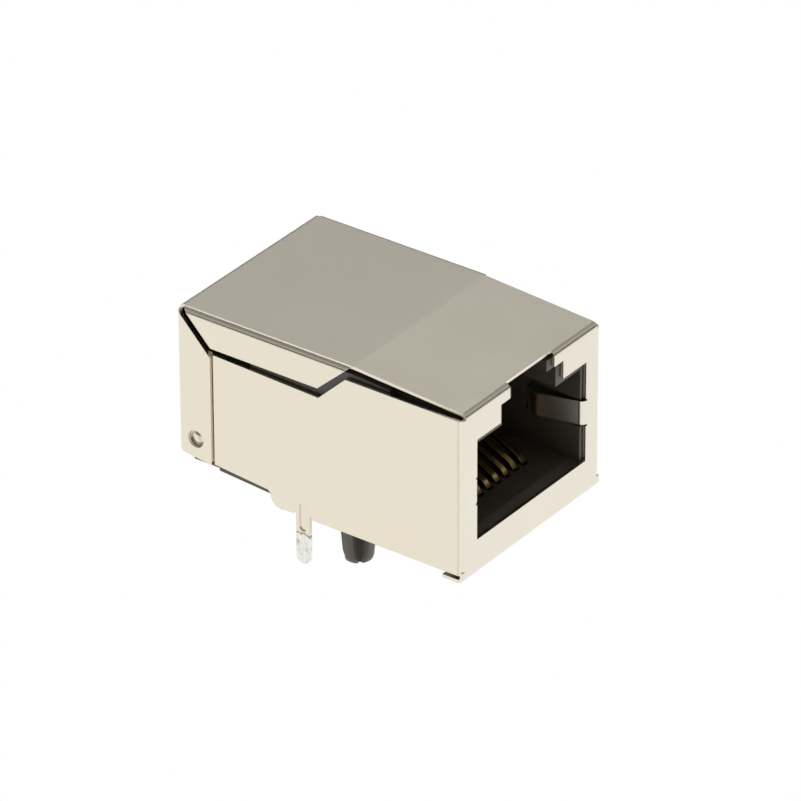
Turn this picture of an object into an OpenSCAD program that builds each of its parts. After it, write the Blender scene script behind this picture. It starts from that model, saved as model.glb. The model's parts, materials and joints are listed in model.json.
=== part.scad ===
// Shielded modular jack for a circuit board, with its network transformers
// built in.  Millimetres.  +Z is up, the board's surface is z = 0, the plug
// goes in along +Y, and the origin lies midway between the locating pegs.
// Depths called "from the port face" are measured rearward from the shield's
// front surface.

/* [Shield box] */
// Overall width of the shield
shield_w = 16; // [15.5:0.1:17]
// Overall length of the shield
shield_l = 23.9; // [23.8:0.1:26]
// Height of the shield's roof above the board
shield_h = 13.56; // [13.4:0.02:14.2]
// Thickness of the sheet
sheet_t = 0.25; // [0.2:0.01:0.3]
// Outside radius of the folds
fold_r = 0.44; // [0.4:0.01:0.5]
// How far the roof comes down at the front fold
roof_drop = 0.55; // [0.3:0.05:0.6]
// Length of the sloping front part of the roof
roof_slope_l = 9.3; // [9:0.1:10]
// Height of the side walls' lower edges above the board
wall_lift = 0.6; // [0.55:0.05:0.7]
// Depth of the lip folded under the port
lip_l = 1.7; // [1:0.1:2]

/* [Side seams] */
// Height of the side walls' upper edges beside the sloping roof
wall_top = 12.6; // [12.4:0.05:12.65]
// Height of the side walls' upper edges under the flaps, at the front end
wall_shelf_front = 10.42; // [10.2:0.02:10.6]
// The same height at the rear end
wall_shelf_rear = 10.7; // [10.6:0.02:10.8]
// From the port face to the top of the slanted edge beside each flap
recess_start = 9.64; // [9.4:0.02:10]
// From the port face to the foot of that slanted edge
recess_end = 11.9; // [11.5:0.05:12]
// Height of the roof flaps' lower edges
flap_low = 11.13; // [11:0.01:11.4]
// From the port face to the front end of each flap's lower edge
flap_low_start = 11.98; // [11.8:0.02:12.4]
// From the rear end of each flap's lower edge to the rear cover's strips
flap_gap = 0.05; // [0:0.05:1]
// Length of each flap's rear mitre, along the roof
flap_mitre = 2.35; // [2.2:0.05:2.4]
// Length of the rear cover's side strips
strip_l = 2.85; // [2.4:0.05:2.85]
// Height of the rear cover's lower edge
cover_low = 2.45; // [2.3:0.05:2.6]
// Height of the strips' lower edges at their front ends
strip_low = 1.9; // [1.8:0.05:2.2]
// From the port face to the step in the side walls' lower edges
wall_step_at = 15.9; // [15:0.1:17]
// Height of the wall's raised lower edge just behind that step
wall_step_low = 1.7; // [1.5:0.05:1.8]
// Height of that edge at the strips
wall_step_rear = 2.1; // [1.8:0.05:2.2]

/* [Latch holes and ground tabs] */
// Diameter of the hole in each side strip
latch_hole_d = 1.3; // [1:0.05:1.5]
// From the shield's rear face to the latch holes
latch_back = 1.52; // [1.4:0.02:1.6]
// Height of the latch holes
latch_z = 3.54; // [3.2:0.02:4.2]
// How far each latch dimple stands out of the wall
dimple_h = 0.18; // [0.1:0.01:0.2]
// Width of each ground tab
tab_w = 1.15; // [1:0.05:1.2]
// From the port face to the middle of the ground tabs
tab_at = 13.3; // [13:0.05:13.5]
// Width of the stiffening groove in each tab
bead_w = 0.6; // [0.4:0.05:0.65]
// Depth of that groove
bead_h = 0.1; // [0.06:0.01:0.12]

/* [Port] */
// Width of the port in the shield
port_w = 12.6; // [12.2:0.05:12.7]
// Height of the port's lower edge above the board
port_low = 2.75; // [2.7:0.01:2.8]
// Height of the shoulders above the plug's body
shoulder_z = 10.5; // [10.45:0.01:10.6]
// Width of the port above the shoulders
key_w = 7.2; // [6.8:0.05:7.3]
// Height of the ledges beside the latch slot
key_z = 11.9; // [11.8:0.02:12.1]
// Width of the latch slot
latch_w = 5.1; // [4.6:0.05:5.2]
// How far the plastic cavity stands inside the port at each side
cavity_inset = 0.3; // [0.2:0.01:0.35]
// How far the cavity's steps stand inside the port's steps
step_inset = 0.5; // [0.4:0.01:0.55]
// How far the cavity's shoulders stand below the port's
shoulder_inset = 0.5; // [0.3:0.05:0.55]
// Depth of the plug cavity from the port face
cavity_l = 12.2; // [12:0.05:12.4]
// Depth of the steps above the shoulders, from the port face
key_l = 9.2; // [8.6:0.1:9.8]

/* [Ground fingers] */
// Height of the ground fingers' lower edges
finger_low = 5.62; // [5.2:0.02:5.8]
// Width of each finger at its root, measured up
finger_w = 1.84; // [1.8:0.02:2.1]
// How much narrower a finger is at its end
finger_taper = 0.3; // [0.1:0.05:0.4]
// How far each finger's crown stands into the port
finger_reach = 0.75; // [0.5:0.05:0.8]
// From the port face to the finger's crown
finger_crown = 3.45; // [3.2:0.05:3.6]
// From the port face to the finger's end
finger_end = 4.6; // [4.4:0.05:4.8]
// Thickness of the fingers, which are coined thinner than the sheet
finger_t = 0.2; // [0.15:0.01:0.22]
// Height of the relief cuts above and below each finger's root
finger_relief = 0.15; // [0.1:0.01:0.2]

/* [Housing] */
// Clearance between the shield and what it holds
housing_gap = 0.12; // [0.08:0.01:0.15]
// Thickness of the cavity's rear wall
cavity_wall = 1; // [0.9:0.05:1.1]
// How far the housing's side rails reach behind the strips' front edges
rail_past = 0.15; // [0:0.05:0.9]
// From the port face to the rear end of the rails' upper part
ledge_end = 17.9; // [17:0.1:18.5]
// From the port face to the front end of the ledge along the housing's top
ledge_start = 6.2; // [6:0.1:7]
// How far the housing steps in above the side walls, off the ledge
top_step = 0.6; // [0.4:0.05:0.7]
// Thickness of the side rails
rail_t = 0.5; // [0.4:0.05:0.6]
// Height of the underside of the rails above the board, at the front
rail_low = 1.15; // [1.1:0.05:1.2]
// The same height at the rails' rear ends
rail_low_rear = 1.5; // [1.2:0.05:1.6]

/* [Locating pegs] */
// Distance between the pegs
peg_pitch = 12.7; // [12.6:0.1:12.8]
// From the port face to the pegs
peg_setback = 9.85; // [9.7:0.05:10]
// Diameter of the circle round each peg's ribs
peg_d = 2.7; // [2.4:0.05:3]
// Thickness of a peg's ribs
peg_rib = 0.8; // [0.5:0.05:0.9]
// Length of the pegs below the board's surface
peg_l = 2.2; // [2:0.05:2.6]

/* [Contacts] */
// Number of contacts
contact_n = 8; // [4:2:8]
// Distance from one contact to the next
contact_pitch = 1.016; // [1:0.002:1.03]
// Width of a contact
contact_w = 0.46; // [0.4:0.01:0.5]
// Thickness of a contact
contact_t = 0.3; // [0.25:0.01:0.32]
// Height of the middle of the contacts' lower legs
contact_low = 1.8; // [1.75:0.01:1.85]
// Radius of the front bend, to the middle of the wire
contact_bend_r = 0.75; // [0.6:0.01:0.8]
// From the port face to the middle of that bend
contact_bend_at = 4.05; // [3.9:0.05:4.2]
// Angle at which a contact rises into the cavity
contact_rise = 28; // [26:0.5:29]
// How far a contact's free end reaches into the cavity's rear wall
contact_past = 0.25; // [0.1:0.05:0.5]
// From the inner board's front edge to the contacts' solder tails
contact_tail_in = 0.6; // [0.4:0.05:0.8]
// Clearance at each side of a contact in its slot
contact_clear = 0.09; // [0.05:0.01:0.1]

/* [Contact insert] */
// From the port face to the insert's front end
insert_start = 4.7; // [4.6:0.05:5]
// How far the insert runs out behind the housing
insert_past = 0.2; // [0.1:0.05:0.3]
// Height of the insert's underside
insert_low = 1; // [0.9:0.05:1.1]
// Thickness of the insert
insert_t = 1.4; // [1.3:0.05:1.5]
// How far the insert runs past the outer contacts
insert_margin = 1; // [0.8:0.05:1.2]
// Width of the foot under the insert
insert_foot_w = 3; // [2:0.5:5]
// Length of that foot
insert_foot_l = 1.6; // [1:0.1:3]

/* [Pin block and pins] */
// Length of the pins and ground tabs below the board's surface
tail_l = 3.1; // [2.8:0.1:3.6]
// From the contacts' solder tails to the pin block
block_gap = 0.7; // [0.5:0.05:1]
// Height of the pin block's underside
block_low = 1.2; // [1.1:0.05:1.3]
// Thickness of the pin block
block_t = 1.6; // [1.4:0.05:1.8]
// Number of solder pins
pin_n = 8; // [4:1:8]
// Distance across the jack from one pin to the next
pin_pitch = 1.27; // [1.2:0.01:1.3]
// From the pegs to the first row of pins
pin_row_at = 6.35; // [6.3:0.05:6.5]
// Distance between the two rows of pins
pin_row_gap = 2.54; // [2.4:0.02:2.6]
// Thickness of a pin
pin_d = 0.5; // [0.45:0.01:0.55]

/* [Circuit board] */
// From the cavity's rear wall to the inner board
pcb_gap = 0.4; // [0.3:0.05:0.5]
// From the inner board to the shield's rear face
pcb_rear_gap = 0.6; // [0.5:0.05:0.7]
// Height of the inner board's underside
pcb_low = 3.3; // [3.2:0.05:3.6]
// Thickness of the inner board
pcb_t = 1; // [0.8:0.1:1.2]
// How far below the inner board's top the pins and tails end
pin_sink = 0.1; // [0.05:0.05:0.3]

/* [Magnetics] */
// Height of a ferrite ring
core_h = 2; // [1.6:0.1:2.4]
// Diameter of the enamelled wire
wire_d = 0.22; // [0.18:0.01:0.24]
// Number of turns on each ring
turns_n = 12; // [8:1:14]
// Part of each ring that its winding covers, in degrees
winding_arc = 300; // [270:5:320]
// Clearance between wound rings, and from them to what stands beside them
core_clear = 0.2; // [0.1:0.05:0.3]

/* [Chip parts] */
// Width of a chip resistor
chip_w = 0.8; // [0.6:0.05:0.9]
// Height of a chip resistor
chip_h = 0.45; // [0.35:0.05:0.6]
// From the inner board's front edge to the front pair of resistors
chip_in = 1.75; // [1.7:0.05:1.8]
// Distance from the front pair of resistors to the rear pair
chip_pitch = 1.1; // [1:0.05:1.2]
// From the inner board's rear edge to the capacitor
cap_in = 1.05; // [0.8:0.05:1.2]
// Clearance between the resistors and the capacitor
cap_gap = 0.9; // [0.5:0.1:1.2]
// Height of the capacitor
cap_h = 1.8; // [1.4:0.1:2.2]

/* [Hidden] */
$fn = 48;
half_w = shield_w / 2;
inner_w = half_w - sheet_t;
housing_half = inner_w - housing_gap;
front_y = -peg_setback;
rear_y = front_y + shield_l;
slope_end = front_y + roof_slope_l;
slope_a = atan(roof_drop / (roof_slope_l - fold_r));
joggle = sheet_t + 0.03;
joggle_l = 0.28;
cavity_low = port_low + 0.05;
finger_root = port_w / 2 - cavity_inset;
strip_start = shield_l - strip_l;
flap_low_end = strip_start - flap_gap;
latch_at = shield_l - latch_back;
rail_end = strip_start + rail_past;
body_end = cavity_l + cavity_wall;
inner_half = housing_half - top_step;
insert_end = body_end + insert_past;
contact_end = cavity_l + contact_past;
pcb_start = body_end + pcb_gap;
pcb_end = shield_l - pcb_rear_gap;
pcb_top = pcb_low + pcb_t;
contact_tail_at = pcb_start + contact_tail_in;
block_start = contact_tail_at + block_gap;
tail_top = pcb_top - pin_sink;
eps = 1;

contacts = [for (i = [1:contact_n]) str("contact_", i)];
pins = [for (i = [1:pin_n]) str("signal_pin_", i)];
windings = ["transmit_transformer", "transmit_choke", "receive_transformer", "receive_choke"];
resistors_n = 4;

// A place so far behind the port face, as a place along Y.
function back(d) = d - peg_setback;

// The outer line of the sloping roof: its height at a place along Y.
function roof_z(y) = shield_h - max(0, slope_end - y) * tan(slope_a);

// A ring sector round the point at, from angle a0 to a1: the section of a
// fold in sheet or wire.
module fold(at, a0, a1, r = fold_r, t = sheet_t) {
    reach = 3 * r;
    mid = (a0 + a1) / 2;
    translate(at)
        intersection() {
            difference() {
                circle(r);
                circle(r - t);
            }
            polygon([
                [0, 0],
                reach * [cos(a0), sin(a0)],
                reach * [cos(mid), sin(mid)],
                reach * [cos(a1), sin(a1)]
            ]);
        }
}

// A rectangle from one corner to the opposite one.
module rect(low, high) {
    translate(low)
        square(high - low);
}

// A block from its lowest corner to its highest one.
module block(low, high) {
    translate(low)
        cube(high - low);
}

// Turns a section drawn in (y, z) into a solid across the jack.
module across(x0, x1) {
    translate([x0, 0, 0])
        rotate([90, 0, 90])
            linear_extrude(x1 - x0)
                children();
}

// Turns a section drawn in (x, z) into a solid along the jack.
module along(y0, y1) {
    translate([0, y1, 0])
        rotate([90, 0, 0])
            linear_extrude(y1 - y0)
                children();
}

// Repeats what follows on both sides of the jack.
module both_sides() {
    children();
    mirror([1, 0, 0])
        children();
}

// ---------------------------------------------------------------- shield

// Section of the strip that runs from the lip under the port, up the front,
// over the roof and down the back.
module loop_section() {
    front_c = [front_y + fold_r, roof_z(front_y + fold_r) - fold_r / cos(slope_a)];
    rear_c = [rear_y - fold_r, shield_h - fold_r];
    lip_r = fold_r;
    lap = 40;

    rect([front_y + lip_r, 0], [front_y + lip_l, sheet_t]);
    fold([front_y + lip_r, lip_r], 180, 270, lip_r);
    rect([front_y, lip_r], [front_y + sheet_t, front_c[1]]);
    fold(front_c, 90 + slope_a + lap / 2, 180);
    // the sloping part, drawn along the slope and cut off level with the roof
    intersection() {
        translate(front_c)
            rotate(slope_a) {
                fold([0, 0], 90, 90 + lap);
                rect([0, fold_r - sheet_t], [roof_slope_l + fold_r, fold_r]);
            }
        rect([front_y, 0], [rear_y, shield_h]);
    }
    rect([slope_end, shield_h - sheet_t], [rear_c[0], shield_h]);
    fold(rear_c, 0, 90);
    rect([rear_y - sheet_t, cover_low], [rear_y, rear_c[1]]);
}

// Plan of the front, its two upright folds and the side walls, which step in
// behind the rear cover's strips.
module wall_plan() {
    step_at = back(strip_start);
    rect([-half_w + fold_r, front_y], [half_w - fold_r, front_y + sheet_t]);
    both_sides() {
        fold([half_w - fold_r, front_y + fold_r], 270, 360);
        rect([inner_w, front_y + fold_r], [half_w, step_at - joggle_l]);
        polygon([
            [inner_w, step_at - joggle_l],
            [half_w, step_at - joggle_l],
            [half_w - joggle, step_at],
            [inner_w - joggle, step_at]
        ]);
        rect([inner_w - joggle, step_at], [half_w - joggle, rear_y - fold_r]);
    }
}

// Side view of the walls: sloping recess under the flap, raised rear edge.
module wall_side() {
    step_z = wall_step_low;
    step_r = 0.35;
    strip_y = back(strip_start);
    polygon([
        [front_y - eps, wall_lift],
        [back(wall_step_at) - step_r, wall_lift],
        [back(wall_step_at), wall_lift + step_r],
        [back(wall_step_at) + step_r / 2, step_z - step_r / 2],
        [back(wall_step_at) + step_r, step_z],
        [strip_y, wall_step_rear],
        [rear_y, cover_low + step_z / 5],
        [rear_y, wall_shelf_rear],
        [strip_y, wall_shelf_rear],
        [back(recess_end), wall_shelf_front],
        [back(recess_start), wall_top],
        [front_y - eps, wall_top]
    ]);
    ground_tab_side();
}

// Side view of a ground tab, with its round tip.
module ground_tab_side() {
    y = back(tab_at);
    translate([y, tab_w / 2 - tail_l])
        circle(tab_w / 2);
    rect([y - tab_w / 2, tab_w / 2 - tail_l], [y + tab_w / 2, wall_lift + eps]);
}

// The notches that let a ground tab start above the wall's edge.
module tab_reliefs() {
    relief_w = 0.2;
    for (side = [-1, 1])
        translate([back(tab_at) + side * (tab_w + relief_w) / 2 - relief_w / 2, wall_lift - eps])
            square([relief_w, eps + relief_w]);
}

// A long slot with round ends, drawn in (y, z): the ground tab's groove.
module bead_side() {
    high = wall_lift + 0.7;
    low = wall_lift - 0.85;
    rect([back(tab_at) - bead_w / 2, low], [back(tab_at) + bead_w / 2, high]);
    for (z = [low, high])
        translate([back(tab_at), z])
            circle(bead_w / 2);
}

module walls() {
    difference() {
        intersection() {
            translate([0, 0, -tail_l])
                linear_extrude(tail_l + shield_h)
                    wall_plan();
            across(-half_w - eps, half_w + eps)
                difference() {
                    wall_side();
                    tab_reliefs();
                }
        }
        both_sides()
            across(half_w - bead_h, half_w + eps)
                bead_side();
    }
    both_sides() {
        across(inner_w - bead_h, inner_w)
            bead_side();
        dimple();
    }
}

// The dome on the wall that snaps into the latch hole of the strip.
module dimple() {
    base_r = latch_hole_d / 2 - 0.1;
    sphere_r = (pow(base_r, 2) + pow(dimple_h, 2)) / (2 * dimple_h);
    wall_x = half_w - joggle;
    intersection() {
        translate([wall_x + dimple_h - sphere_r, back(latch_at), latch_z])
            sphere(sphere_r);
        block(
            [wall_x - sheet_t / 2, back(latch_at) - base_r, latch_z - base_r],
            [half_w, back(latch_at) + base_r, latch_z + base_r]
        );
    }
}

// The roof's flaps, folded down over the recesses of the side walls.
module flaps() {
    intersection() {
        along(slope_end, back(strip_start) + flap_mitre)
            both_sides() {
                rect([0, shield_h - sheet_t], [half_w - fold_r, shield_h]);
                fold([half_w - fold_r, shield_h - fold_r], 0, 90);
                rect([inner_w, flap_low - eps], [half_w, shield_h - fold_r]);
            }
        across(-half_w - eps, half_w + eps)
            polygon([
                [slope_end, shield_h + eps],
                [slope_end, shield_h],
                [back(flap_low_start), flap_low],
                [back(flap_low_end), flap_low],
                [back(flap_low_end) + flap_mitre, shield_h],
                [back(flap_low_end) + flap_mitre, shield_h + eps]
            ]);
    }
}

// The rear cover's upright folds and the strips that wrap onto the sides.
module strips() {
    corner = 0.5;
    mitre_z = flap_low - 0.75;
    difference() {
        intersection() {
            translate([0, 0, strip_low])
                linear_extrude(shield_h - fold_r - strip_low)
                    both_sides() {
                        rect([0, rear_y - sheet_t], [half_w - fold_r, rear_y]);
                        fold([half_w - fold_r, rear_y - fold_r], 0, 90);
                        rect([inner_w, back(strip_start)], [half_w, rear_y - fold_r]);
                    }
            across(-half_w - eps, half_w + eps)
                polygon([
                    [back(strip_start), strip_low],
                    [rear_y - corner, cover_low - corner / 2],
                    [rear_y, cover_low],
                    [rear_y, shield_h],
                    [rear_y - fold_r / 2, shield_h],
                    [rear_y - fold_r / 2, shield_h - fold_r],
                    [back(strip_start), mitre_z]
                ]);
        }
        translate([0, back(latch_at), latch_z])
            rotate([0, 90, 0])
                cylinder(h = shield_w + 2 * eps, d = latch_hole_d, center = true);
    }
}

// The port's outline in (x, z), open at the top through the front fold.
module port_outline() {
    rect([-port_w / 2, port_low], [port_w / 2, shoulder_z]);
    rect([-key_w / 2, port_low], [key_w / 2, key_z]);
    rect([-latch_w / 2, port_low], [latch_w / 2, shield_h + eps]);
}

// Plan of a spring finger: folded in at the port's edge, a straight blade, a
// round crown, and an end that turns back towards the wall.
module finger_plan() {
    start_y = front_y + fold_r;
    crown_r = 0.8;
    end_a = 38;
    steps = 8;
    crown_y = back(finger_crown);
    rise_a = atan(finger_reach / (crown_y - start_y));
    arc = [
        for (i = [0:steps])
            let (a = rise_a - (rise_a + end_a) * i / steps)
            [finger_root - finger_reach + crown_r * (1 - cos(a)), crown_y - crown_r * sin(a)]
    ];
    run = back(finger_end) - arc[steps][1];
    inner = concat([[finger_root, start_y]], arc, [arc[steps] + run * [tan(end_a), 1]]);
    outer = [for (i = [len(inner) - 1:-1:0]) inner[i] + [finger_t, 0]];
    fold([finger_root + fold_r, start_y], 180, 270, t = finger_t);
    polygon(concat(inner, outer));
}

// Side view of a spring finger, narrower towards its end.
module finger_side() {
    top = finger_low + finger_w;
    polygon([
        [front_y - eps, finger_low],
        [front_y + fold_r, finger_low],
        [back(finger_end) + eps, finger_low + finger_taper / 2],
        [back(finger_end) + eps, top - finger_taper / 2],
        [front_y + fold_r, top],
        [front_y - eps, top]
    ]);
}

module shield() {
    edge_in = 0.08;
    color("#cfcabd")
        difference() {
            union() {
                across(-half_w + fold_r, half_w - fold_r)
                    loop_section();
                // the lip reaches nearly the full width
                intersection() {
                    across(-half_w + edge_in, half_w - edge_in)
                        loop_section();
                    block([-half_w, front_y, 0], [half_w, front_y + lip_l, wall_lift + sheet_t]);
                }
                walls();
                flaps();
                strips();
            }
            along(front_y - eps, front_y + fold_r)
                port_outline();
            both_sides()
                block(
                    [0, front_y - eps, finger_low - finger_relief],
                    [finger_root + fold_r, front_y + fold_r, finger_low + finger_w + finger_relief]
                );
        }
    color("#cfcabd")
        both_sides()
            intersection() {
                translate([0, 0, finger_low])
                    linear_extrude(finger_w)
                        finger_plan();
                across(0, half_w)
                    finger_side();
            }
}

// --------------------------------------------------------------- housing

// Where a contact stands across the jack.
function contact_x(i) = (i - (contact_n + 1) / 2) * contact_pitch;

// The cavity's outline in (x, z) as seen from the port.
module cavity_outline() {
    rect([-finger_root, cavity_low], [finger_root, shoulder_z - shoulder_inset]);
}

// The steps above the shoulders: the key's and the latch's.
module step_outline() {
    rect([-key_w / 2 + step_inset, cavity_low], [key_w / 2 - step_inset, key_z - step_inset / 2]);
    rect([-latch_w / 2 + step_inset, cavity_low], [latch_w / 2 - step_inset, shield_h]);
}

// Outer block of the housing with its side rails and upper ledges.
module housing_body() {
    front_gap = sheet_t + 0.05;
    body_top = roof_z(front_y) - sheet_t - 2 * housing_gap;
    side_top = wall_shelf_front - 0.4;
    ledge_top = shield_h - sheet_t - 0.35;
    block([-housing_half, back(front_gap), wall_lift], [housing_half, back(body_end), side_top]);
    block([-inner_half, back(front_gap), side_top], [inner_half, back(body_end), body_top]);
    both_sides() {
        // lower rail, beside the pin block and the inner board
        across(housing_half - rail_t, housing_half)
            polygon([
                [back(body_end), rail_low],
                [back(wall_step_at), rail_low],
                [back(rail_end), rail_low_rear],
                [back(rail_end), side_top],
                [back(body_end), side_top]
            ]);
        // upper ledge, which shows in the seam under the roof's flap
        across(housing_half - rail_t, housing_half)
            polygon([
                [back(ledge_start), side_top],
                [back(ledge_end), side_top],
                [back(ledge_end), ledge_top],
                [slope_end, ledge_top],
                [back(ledge_start), ledge_top - (slope_end - back(ledge_start)) * tan(slope_a)]
            ]);
        block(
            [inner_half, back(ledge_start), side_top],
            [housing_half - rail_t, back(body_end), body_top]
        );
        // inner wall beside the transformers
        block(
            [inner_half - rail_t, back(body_end), pcb_top + wire_d],
            [inner_half, back(rail_end), ledge_top]
        );
        block(
            [inner_half, back(body_end), side_top - rail_t],
            [housing_half, back(rail_end), side_top]
        );
    }
}

// A cross-shaped locating peg, tapered and round at its end, from z = top.
module peg(top) {
    r = peg_d / 2;
    end_h = 0.45;
    intersection() {
        rotate_extrude()
            polygon([
                [0, -peg_l],
                [r * 0.6, -peg_l],
                [r * 0.75, end_h / 3 - peg_l],
                [r * 0.82, end_h - peg_l],
                [r, top],
                [0, top]
            ]);
        union() {
            block([-peg_d, -peg_rib / 2, -peg_l], [peg_d, peg_rib / 2, top]);
            block([-peg_rib / 2, -peg_d, -peg_l], [peg_rib / 2, peg_d, top]);
        }
    }
}

module housing() {
    slot_w = contact_w + 2 * contact_clear;
    comb_low = 4.6;
    comb_top = contact_top() + 0.15;
    comb_back = 0.25;
    foot = [9, 1.6];
    insert_half = insert_width() / 2;
    finger_slot_top = finger_low + finger_w + 0.15;
    finger_slot_low = finger_low - 0.15;
    ramp_l = 1.1;
    ramp_h = 0.3;
    color("#26231f") {
        difference() {
            housing_body();
            along(front_y - eps, back(cavity_l))
                cavity_outline();
            along(front_y - eps, back(key_l))
                step_outline();
            // ramp along the front edge of the cavity's floor
            across(-finger_root, finger_root)
                polygon([
                    [front_y, cavity_low - ramp_h],
                    [front_y + ramp_l, cavity_low],
                    [front_y + ramp_l, cavity_low + eps],
                    [front_y, cavity_low + eps]
                ]);
            // pockets behind the ground fingers
            both_sides()
                block(
                    [finger_root - eps, front_y - eps, finger_slot_low],
                    [finger_root + finger_t + fold_r, back(finger_end + 0.3), finger_slot_top]
                );
            // slots for the contacts in the floor and the rear wall
            for (i = [1:contact_n])
                translate([contact_x(i), 0, 0]) {
                    block(
                        [-slot_w / 2, back(contact_bend_at - contact_bend_r - 0.35), insert_low + 0.4],
                        [slot_w / 2, back(cavity_l) + eps / 10, cavity_low + eps]
                    );
                    block(
                        [-slot_w / 2, back(cavity_l) - eps, comb_low],
                        [slot_w / 2, back(body_end - comb_back), comb_top]
                    );
                }
            // room for the step in the shield's walls
            both_sides()
                block(
                    [housing_half - joggle, back(strip_start) - joggle_l - housing_gap, 0],
                    [half_w, rear_y, shield_h]
                );
            // the insert slides in from behind, under the floor
            block(
                [-insert_half, back(insert_start), wall_lift - eps],
                [insert_half, back(body_end) + eps, insert_low + insert_t]
            );
        }
        both_sides()
            translate([peg_pitch / 2, 0, 0])
                peg(wall_lift);
        // the foot between the pegs, which stands on the board
        block([-foot[0] / 2, -foot[1] / 2 + back(3), 0], [foot[0] / 2, foot[1] / 2 + back(3), wall_lift]);
    }
}

// ---------------------------------------------------- insert and contacts

function insert_width() = (contact_n - 1) * contact_pitch + contact_w + 2 * insert_margin;

module contact_insert() {
    half = insert_width() / 2;
    color("#2c2925")
        difference() {
            block(
                [-half, back(insert_start), insert_low],
                [half, back(insert_end), insert_low + insert_t]
            );
            for (i = [1:contact_n])
                translate([contact_x(i), 0, 0])
                    block(
                        [-contact_w / 2, back(insert_start) - eps, contact_low - contact_t / 2],
                        [contact_w / 2, back(insert_end) + eps, contact_low + contact_t / 2]
                    );
        }
    // the foot midway between the pegs, which stands on the board
    color("#2c2925")
        block(
            [-insert_foot_w / 2, -insert_foot_l / 2, 0],
            [insert_foot_w / 2, insert_foot_l / 2, insert_low]
        );
}

// Height of the upper side of a contact at its free end.
function contact_top() =
    contact_low + contact_bend_r
    + (contact_end - contact_bend_at) * tan(contact_rise)
    + (contact_bend_r + contact_t / 2) / cos(contact_rise);

// Section of a contact in (y, z): solder tail, lower leg, front bend, spring.
module contact_section() {
    r = contact_bend_r;
    half_t = contact_t / 2;
    tail_y = back(contact_tail_at);
    bend_c = [back(contact_bend_at), contact_low + r];
    spring_l = (contact_end - contact_bend_at + r * sin(contact_rise)) / cos(contact_rise);
    lap = 60;

    rect([tail_y - half_t, bend_c[1]], [tail_y + half_t, tail_top]);
    wire_bend([tail_y - r, bend_c[1]], 270, 360);
    rect([bend_c[0], contact_low - half_t], [tail_y - r, contact_low + half_t]);
    wire_bend(bend_c, 90 + contact_rise + lap / 4, 270);
    translate(bend_c)
        rotate(contact_rise) {
            wire_bend([0, 0], 90, 90 + lap);
            rect([0, r - half_t], [spring_l, r + half_t]);
        }
}

// A bend of the contact's strip.
module wire_bend(at, a0, a1) {
    fold(at, a0, a1, contact_bend_r + contact_t / 2, contact_t);
}

module contact(i) {
    color("#c79a3e")
        translate([contact_x(i), 0, 0])
            across(-contact_w / 2, contact_w / 2)
                contact_section();
}

// --------------------------------------------- pin block, pins and board

// Where a solder pin stands: the pins alternate between two rows.
function pin_x(i) = (i - (pin_n + 1) / 2) * pin_pitch;
function pin_y(i) = pin_row_at + (i % 2 == 1 ? 0 : pin_row_gap);

// Square holes for the pins' upper ends.
module pin_holes(low, high) {
    for (i = [1:pin_n])
        translate([pin_x(i), pin_y(i), 0])
            block([-pin_d / 2, -pin_d / 2, low], [pin_d / 2, pin_d / 2, high]);
}

module pin_block() {
    half = housing_half - rail_t - housing_gap;
    foot = [1.6, 1.6];
    foot_x = 3;
    color("#26231f")
        difference() {
            union() {
                block([-half, back(block_start), block_low], [half, back(pcb_end), block_low + block_t]);
                both_sides()
                    block(
                        [foot_x, back(pcb_end) - foot[1], 0],
                        [foot_x + foot[0], back(pcb_end), block_low]
                    );
            }
            pin_holes(block_low - eps, block_low + block_t + eps);
        }
}

// A pin is square where it is held and round where it goes through the board.
module signal_pin(i) {
    tip_h = 0.3;
    color("#c9c7c1")
        translate([pin_x(i), pin_y(i), 0]) {
            block(
                [-pin_d / 2, -pin_d / 2, block_low],
                [pin_d / 2, pin_d / 2, tail_top]
            );
            translate([0, 0, tip_h - tail_l])
                cylinder(h = tail_l + block_low - tip_h, d = pin_d);
            translate([0, 0, -tail_l])
                cylinder(h = tip_h, d1 = pin_d / 2, d2 = pin_d);
        }
}

module circuit_board() {
    half = housing_half - rail_t - housing_gap;
    color("#2f5a3a")
        difference() {
            block([-half, back(pcb_start), pcb_low], [half, back(pcb_end), pcb_top]);
            pin_holes(pcb_low - eps, pcb_top + eps);
            for (i = [1:contact_n])
                translate([contact_x(i), back(contact_tail_at), 0])
                    block(
                        [-contact_w / 2, -contact_t / 2, pcb_low - eps],
                        [contact_w / 2, contact_t / 2, pcb_top + eps]
                    );
        }
}

// ------------------------------------------------- magnetics, chip parts

wire_gap = 0.03;
winding_t = wire_gap + wire_d;
core_d = (pcb_end - pcb_start - 3 * core_clear) / 2 - 2 * winding_t;
core_bore = core_d / 2;
core_r = core_d / 2 + winding_t;
core_x = inner_half - rail_t - core_clear - core_r;

// Where ring i stands: transmit rings on the left, chokes behind.
function core_place(i) = [
    (i < 2 ? -1 : 1) * core_x,
    i % 2 == 0 ? back(pcb_start + core_clear) + core_r : back(pcb_end - core_clear) - core_r,
    pcb_top + winding_t + wire_gap
];

module core(i) {
    color("#3a3a3e")
        translate(core_place(i))
            difference() {
                cylinder(h = core_h, d = core_d);
                translate([0, 0, -eps])
                    cylinder(h = core_h + 2 * eps, d = core_bore);
            }
}

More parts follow.
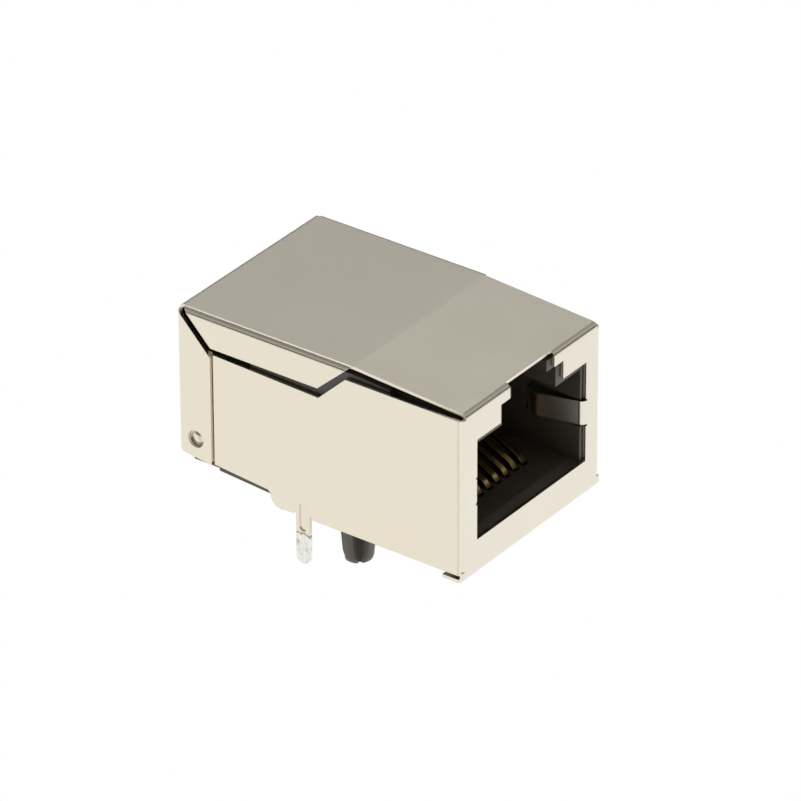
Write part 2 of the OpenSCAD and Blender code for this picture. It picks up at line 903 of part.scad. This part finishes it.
// The enamelled wire on a ring: a close layer with a ridge for each turn.
module winding(i) {
    gap = wire_gap;
    layer = wire_d / 3;
    r0 = core_bore / 2 - gap;
    r1 = core_d / 2 + gap;
    color("#a8562c")
        translate(core_place(i)) {
            rotate([0, 0, 90 - winding_arc / 2])
                rotate_extrude(angle = winding_arc)
                    difference() {
                        rect([r0 - layer, -gap - layer], [r1 + layer, core_h + gap + layer]);
                        rect([r0, -gap], [r1, core_h + gap]);
                    }
            for (k = [0:turns_n - 1])
                rotate([0, 0, 90 + winding_arc * ((k + 0.5) / turns_n - 0.5)])
                    rotate([90, 0, 0])
                        linear_extrude(wire_d, center = true)
                            difference() {
                                rect([r0 - wire_d, -gap - wire_d], [r1 + wire_d, core_h + gap + wire_d]);
                                rect([r0 - gap / 2, -gap / 2], [r1 + gap / 2, core_h + gap / 2]);
                            }
        }
}

// Half the room between the wound rings.
chip_half = core_x - core_r - core_clear;
chip_end = pcb_start + chip_in + chip_pitch + chip_w / 2;

// Resistor i: two pairs, side by side behind the contacts' tails.
module resistor(i) {
    side = i % 2 == 1 ? -1 : 1;
    row = i > 2 ? 1 : 0;
    middle_gap = 0.1;
    chip_l = chip_half - middle_gap / 2;
    color("#2b2a2a")
        translate([side * (chip_half - chip_l / 2), back(pcb_start + chip_in) + row * chip_pitch, pcb_top])
            block([-chip_l / 2, -chip_w / 2, 0], [chip_l / 2, chip_w / 2, chip_h]);
}

module isolation_capacitor() {
    color("#b39a74")
        block(
            [-chip_half, back(chip_end + cap_gap), pcb_top],
            [chip_half, back(pcb_end - cap_in), pcb_top + cap_h]
        );
}

// ------------------------------------------------------------- the nodes

shield();
housing();
contact_insert();
pin_block();
circuit_board();
for (i = [1:contact_n])
    contact(i);
for (i = [1:pin_n])
    signal_pin(i);
for (i = [0:len(windings) - 1]) {
    core(i);
    winding(i);
}
for (i = [1:resistors_n])
    resistor(i);
isolation_capacitor();
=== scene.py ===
import json
import math

import bpy
from mathutils import Matrix, Vector

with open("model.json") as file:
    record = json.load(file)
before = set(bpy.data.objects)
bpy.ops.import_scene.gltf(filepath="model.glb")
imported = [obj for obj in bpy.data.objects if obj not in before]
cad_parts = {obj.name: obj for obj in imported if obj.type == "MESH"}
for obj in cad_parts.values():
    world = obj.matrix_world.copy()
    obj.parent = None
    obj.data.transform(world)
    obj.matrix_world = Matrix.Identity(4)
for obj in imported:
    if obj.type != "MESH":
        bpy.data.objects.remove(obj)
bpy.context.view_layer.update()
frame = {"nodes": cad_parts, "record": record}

MM = 0.001
NODES = frame["nodes"]


# --------------------------------------------------------- material building

class Paint:
    """A material whose shader is built up in millimetres of the row frame."""

    def __init__(self, name):
        self.material = bpy.data.materials.new(name)
        self.material.use_nodes = True
        self.tree = self.material.node_tree
        self.shader = self.tree.nodes["Principled BSDF"]
        place = self.tree.nodes.new("ShaderNodeTexCoord")
        scale = self.tree.nodes.new("ShaderNodeVectorMath")
        scale.operation = "SCALE"
        scale.inputs["Scale"].default_value = 1 / MM
        self.link(place.outputs["Object"], scale.inputs[0])
        self.place = scale.outputs[0]
        self.across_box = place.outputs["Generated"]

    def link(self, out, into):
        self.tree.links.new(out, into)

    def put(self, value, into):
        """Sets a socket to a number or colour, or links another node's output to it."""
        if isinstance(value, bpy.types.NodeSocket):
            self.link(value, into)
        elif isinstance(value, (tuple, list)) and len(value) == 3 and into.type == "RGBA":
            into.default_value = (*value, 1)
        else:
            into.default_value = value

    def set(self, **values):
        """Sets the shader's sockets, by name with underscores for spaces."""
        for name, value in values.items():
            self.put(value, self.shader.inputs[name.replace("_", " ")])

    def math(self, operation, *values, clamp=False):
        node = self.tree.nodes.new("ShaderNodeMath")
        node.operation = operation
        node.use_clamp = clamp
        for value, socket in zip(values, node.inputs):
            self.put(value, socket)
        return node.outputs[0]

    def noise(self, size, detail=3, stretch=(1, 1, 1), seed=0):
        """Noise with features of about so many millimetres, from 0 to 1."""
        mapping = self.tree.nodes.new("ShaderNodeMapping")
        mapping.inputs["Location"].default_value = (seed, seed * 1.7, -seed)
        mapping.inputs["Scale"].default_value = [1 / (size * s) for s in stretch]
        self.link(self.place, mapping.inputs["Vector"])
        node = self.tree.nodes.new("ShaderNodeTexNoise")
        node.inputs["Scale"].default_value = 1
        node.inputs["Detail"].default_value = detail
        self.link(mapping.outputs[0], node.inputs["Vector"])
        return node.outputs["Fac"]

    def ramp(self, value, low, high, to_low=0.0, to_high=1.0):
        """Maps value from low..high to to_low..to_high, smoothly and clamped."""
        node = self.tree.nodes.new("ShaderNodeMapRange")
        node.interpolation_type = "SMOOTHSTEP"
        for number, socket in zip((low, high, to_low, to_high), node.inputs[1:5]):
            socket.default_value = number
        self.link(value, node.inputs["Value"])
        return node.outputs["Result"]

    def mix(self, share, a, b):
        """Blends two colours."""
        node = self.tree.nodes.new("ShaderNodeMix")
        node.data_type = "RGBA"
        self.put(share, node.inputs["Factor"])
        self.put(a, node.inputs[6])
        self.put(b, node.inputs[7])
        return node.outputs[2]

    def axes(self, vector):
        node = self.tree.nodes.new("ShaderNodeSeparateXYZ")
        self.link(vector, node.inputs[0])
        return node.outputs

    def relief(self, edge_mm, bumps):
        """Rounds hard edges to a radius and adds bumps: (height, depth in mm) pairs."""
        bevel = self.tree.nodes.new("ShaderNodeBevel")
        bevel.samples = 6
        bevel.inputs["Radius"].default_value = edge_mm * MM
        normal = bevel.outputs["Normal"]
        for height, depth in bumps:
            bump = self.tree.nodes.new("ShaderNodeBump")
            bump.inputs["Distance"].default_value = depth * MM
            self.link(height, bump.inputs["Height"])
            self.link(normal, bump.inputs["Normal"])
            normal = bump.outputs["Normal"]
        self.link(normal, self.shader.inputs["Normal"])


def nickel():
    """Satin nickel plate on the shield, with solder on the tabs' lower ends."""
    solder_from, solder_full = -0.15, -0.42
    paint = Paint("nickel_sheet")
    cloud = paint.noise(6, detail=4)
    grain = paint.noise(0.16, detail=2)
    plate = paint.mix(cloud, (0.81, 0.75, 0.64), (0.84, 0.79, 0.69))
    z = paint.axes(paint.place)[2]
    ragged = paint.math("MULTIPLY", paint.noise(0.8, seed=3), 0.9)
    wet = paint.ramp(paint.math("ADD", z, ragged), solder_from, solder_full)
    pits = paint.ramp(paint.noise(0.6, detail=3, seed=5), 0.50, 0.75)
    solder = paint.mix(pits, (0.86, 0.86, 0.83), (0.50, 0.50, 0.47))
    paint.set(
        Metallic=1.0,
        Base_Color=paint.mix(wet, plate, solder),
        Roughness=paint.math("ADD", 0.2, paint.math("MULTIPLY", cloud, 0.1)),
    )
    lumps = paint.math("MULTIPLY", wet, paint.noise(0.5, detail=3, seed=9))
    paint.relief(0.05, [(grain, 0.002), (lumps, 0.14)])
    return paint.material


def plastic(name, colour, sheen=0.32):
    """Dark moulded plastic with a faint grain and flow marks."""
    paint = Paint(name)
    flow = paint.noise(2.5, detail=4, stretch=(1, 2.5, 1))
    grain = paint.noise(0.09, detail=2)
    paint.set(
        Base_Color=paint.mix(flow, colour, tuple(1.5 * c for c in colour)),
        Roughness=paint.math("ADD", sheen, paint.math("MULTIPLY", flow, 0.14)),
        Specular_IOR_Level=0.75,
    )
    paint.relief(0.05, [(grain, 0.003), (flow, 0.01)])
    return paint.material


def gold():
    """Gold plate over drawn wire."""
    paint = Paint("gold_contact")
    drawn = paint.noise(0.12, detail=3, stretch=(1, 14, 14))
    cloud = paint.noise(1.2)
    paint.set(
        Metallic=1.0,
        Base_Color=paint.mix(cloud, (0.34, 0.24, 0.11), (0.46, 0.33, 0.16)),
        Roughness=paint.math("ADD", 0.14, paint.math("MULTIPLY", drawn, 0.1)),
    )
    paint.relief(0.07, [(drawn, 0.004)])
    return paint.material


def tin():
    """Tin-dipped pin: bright, soft edged and slightly lumpy."""
    paint = Paint("tinned_pin")
    cloud = paint.noise(0.7, detail=3)
    paint.set(
        Metallic=1.0,
        Base_Color=paint.mix(cloud, (0.70, 0.69, 0.66), (0.82, 0.81, 0.78)),
        Roughness=paint.math("ADD", 0.2, paint.math("MULTIPLY", cloud, 0.18)),
    )
    paint.relief(0.06, [(cloud, 0.04)])
    return paint.material


def laminate():
    """Green lacquer over woven glass and copper tracks."""
    threads, track_turn = 26.0, 9.0
    paint = Paint("board_laminate")
    x, y, z = paint.axes(paint.place)
    warp = paint.math("SINE", paint.math("MULTIPLY", x, threads))
    weft = paint.math("SINE", paint.math("MULTIPLY", y, threads))
    weave = paint.math("MULTIPLY", warp, weft)
    run = paint.math("ADD", paint.math("MULTIPLY", x, track_turn), y)
    tracks = paint.ramp(paint.math("SINE", run), 0.35, 0.6)
    paint.set(
        Base_Color=paint.mix(tracks, (0.02, 0.10, 0.04), (0.05, 0.19, 0.07)),
        Roughness=0.3,
    )
    paint.relief(0.04, [(weave, 0.004), (tracks, 0.03)])
    return paint.material


def ferrite():
    """Sintered ferrite: dark grey, with a fine speckle."""
    paint = Paint("ferrite")
    speck = paint.noise(0.12, detail=4)
    paint.set(
        Base_Color=paint.mix(paint.ramp(speck, 0.4, 0.7), (0.03, 0.03, 0.034), (0.10, 0.10, 0.11)),
        Roughness=0.45,
        Metallic=0.3,
    )
    paint.relief(0.08, [(speck, 0.02)])
    return paint.material


def enamel():
    """Copper wire under clear red-brown enamel."""
    paint = Paint("enamelled_wire")
    cloud = paint.noise(0.5)
    paint.set(
        Metallic=1.0,
        Base_Color=paint.mix(cloud, (0.42, 0.13, 0.04), (0.60, 0.22, 0.08)),
        Roughness=0.3,
        Coat_Weight=0.7,
        Coat_Roughness=0.1,
    )
    paint.relief(0.06, [(cloud, 0.02)])
    return paint.material


def chip(name, body, axis, cap_share):
    """A chip part: its body's colour, and tinned end caps along one axis."""
    paint = Paint(name)
    along = paint.axes(paint.across_box)[axis]
    off_middle = paint.math("ABSOLUTE", paint.math("SUBTRACT", along, 0.5))
    cap = paint.math("GREATER_THAN", off_middle, 0.5 - cap_share)
    speck = paint.noise(0.15, detail=4)
    speckled = paint.mix(speck, body, tuple(1.6 * c for c in body))
    paint.set(
        Base_Color=paint.mix(cap, speckled, (0.74, 0.73, 0.70)),
        Metallic=cap,
        Roughness=paint.math("ADD", 0.3, paint.math("MULTIPLY", speck, 0.15)),
    )
    paint.relief(0.06, [(speck, 0.01)])
    return paint.material


def dress():
    """Gives every CAD node the material of its slot."""
    paints = {
        "nickel_sheet": nickel(),
        "black_plastic": plastic("black_plastic", (0.055, 0.046, 0.035)),
        "insert_plastic": plastic("insert_plastic", (0.058, 0.049, 0.038), sheen=0.4),
        "gold_contact": gold(),
        "tinned_pin": tin(),
        "board_laminate": laminate(),
        "ferrite": ferrite(),
        "enamelled_wire": enamel(),
        "chip_resistor": chip("chip_resistor", (0.02, 0.02, 0.022), axis=0, cap_share=0.19),
        "ceramic_capacitor": chip("ceramic_capacitor", (0.26, 0.17, 0.09), axis=1, cap_share=0.13),
    }
    for part in frame["record"]["subparts"]:
        mesh = NODES[part["node"]].data
        mesh.materials.clear()
        mesh.materials.append(paints[part["material_slot"]])


# ------------------------------------------------------------------- studio

def glow(name, colour_low, colour_high, z_low, z_high):
    """A card's material: it only gives light, graded from its foot to its head."""
    paint = Paint(name)
    paint.tree.nodes.remove(paint.shader)
    light = paint.tree.nodes.new("ShaderNodeEmission")
    height = paint.ramp(paint.axes(paint.place)[2], z_low, z_high)
    paint.link(paint.mix(height, colour_low, colour_high), light.inputs["Color"])
    paint.link(light.outputs[0], paint.tree.nodes["Material Output"].inputs["Surface"])
    return paint.material


def lamp(name, vertices, faces, material):
    """A mesh that lights the part and that the camera looks through."""
    mesh = bpy.data.meshes.new(name)
    mesh.from_pydata([(x * MM, y * MM, z * MM) for x, y, z in vertices], [], faces)
    mesh.materials.append(material)
    obj = bpy.data.objects.new(name, mesh)
    obj.visible_camera = False
    bpy.context.scene.collection.objects.link(obj)


def wall(name, radius, low, high, material, start=0.0, end=360.0):
    """A round studio wall, over the angles from start to end, counted from the front."""
    steps = 96
    angles = [math.radians(start + (end - start) * i / steps) for i in range(steps + 1)]
    ring = [(radius * math.sin(a), -radius * math.cos(a)) for a in angles]
    vertices = [(x, y, z) for z in (low, high) for x, y in ring]
    faces = [(i, i + 1, i + steps + 2, i + steps + 1) for i in range(steps)]
    lamp(name, vertices, faces, material)


def card(name, direction, distance, size, colour):
    """A square light card that faces the part."""
    away = Vector(direction).normalized()
    side = away.cross(Vector((0, 0, 1))).normalized()
    rise = side.cross(away)
    corners = [
        away * distance + (side * u + rise * v) * size / 2
        for u, v in ((-1, -1), (1, -1), (1, 1), (-1, 1))
    ]
    lamp(name, corners, [(0, 1, 2, 3)], glow(name, colour, colour, 0, 1))


def studio():
    """White below, a dark horizon, grey above it, and one bright card overhead.

    Below the horizon a warm wall and a darker one stand beside the left front corner.
    """
    world = bpy.data.worlds.new("world")
    bpy.context.scene.world = world
    world.use_nodes = True
    world.node_tree.nodes["Background"].inputs["Color"].default_value = (1, 1, 1, 1)
    radius = 600
    dark = (0.12, 0.11, 0.09)
    grey = (0.45, 0.45, 0.44)
    warm = (1, 0.985, 0.95)
    olive = (0.72, 0.69, 0.58)
    floor = -900
    wall("horizon", radius, -20, 130, glow("horizon", (0.10, 0.09, 0.07), dark, -20, 130))
    wall("haze", radius, 130, 290, glow("haze", dark, grey, 130, 290))
    wall("sky", radius, 290, 450, glow("sky", grey, (0.52, 0.52, 0.51), 290, 450))
    wall("dome", radius, 450, 1500, glow("dome", (0.34, 0.33, 0.31), (0.2, 0.19, 0.17), 450, 900))
    card("overhead", (0.42, 0.36, 0.83), 560, 250, (1.5, 1.5, 1.48))
    wall("warm", radius, floor, -20, glow("warm", warm, warm, floor, -20), 180, 250)
    wall("notch", radius, floor, -20, glow("notch", olive, olive, floor, -20), 251, 270)


def camera():
    """A long lens above the left front corner."""
    azimuth, elevation, roll = math.radians(-53.625), math.radians(30.559), math.radians(-0.223)
    place = Vector((-342.71, -251.34, 258.04)) * MM
    back = Vector((
        math.sin(azimuth) * math.cos(elevation),
        -math.cos(azimuth) * math.cos(elevation),
        math.sin(elevation),
    ))
    right = (-back).cross(Vector((0, 0, 1))).normalized()
    up = right.cross(-back)
    basis = Matrix((right, up, back)).transposed() @ Matrix.Rotation(roll, 3, "Z")
    data = bpy.data.cameras.new("camera")
    data.sensor_width = 36
    data.lens = 327.5
    data.clip_start = 0.01
    obj = bpy.data.objects.new("camera", data)
    obj.matrix_world = Matrix.Translation(place) @ basis.to_4x4()
    bpy.context.scene.collection.objects.link(obj)
    bpy.context.scene.camera = obj


dress()
studio()
camera()
bpy.context.scene.view_settings.view_transform = "Standard"
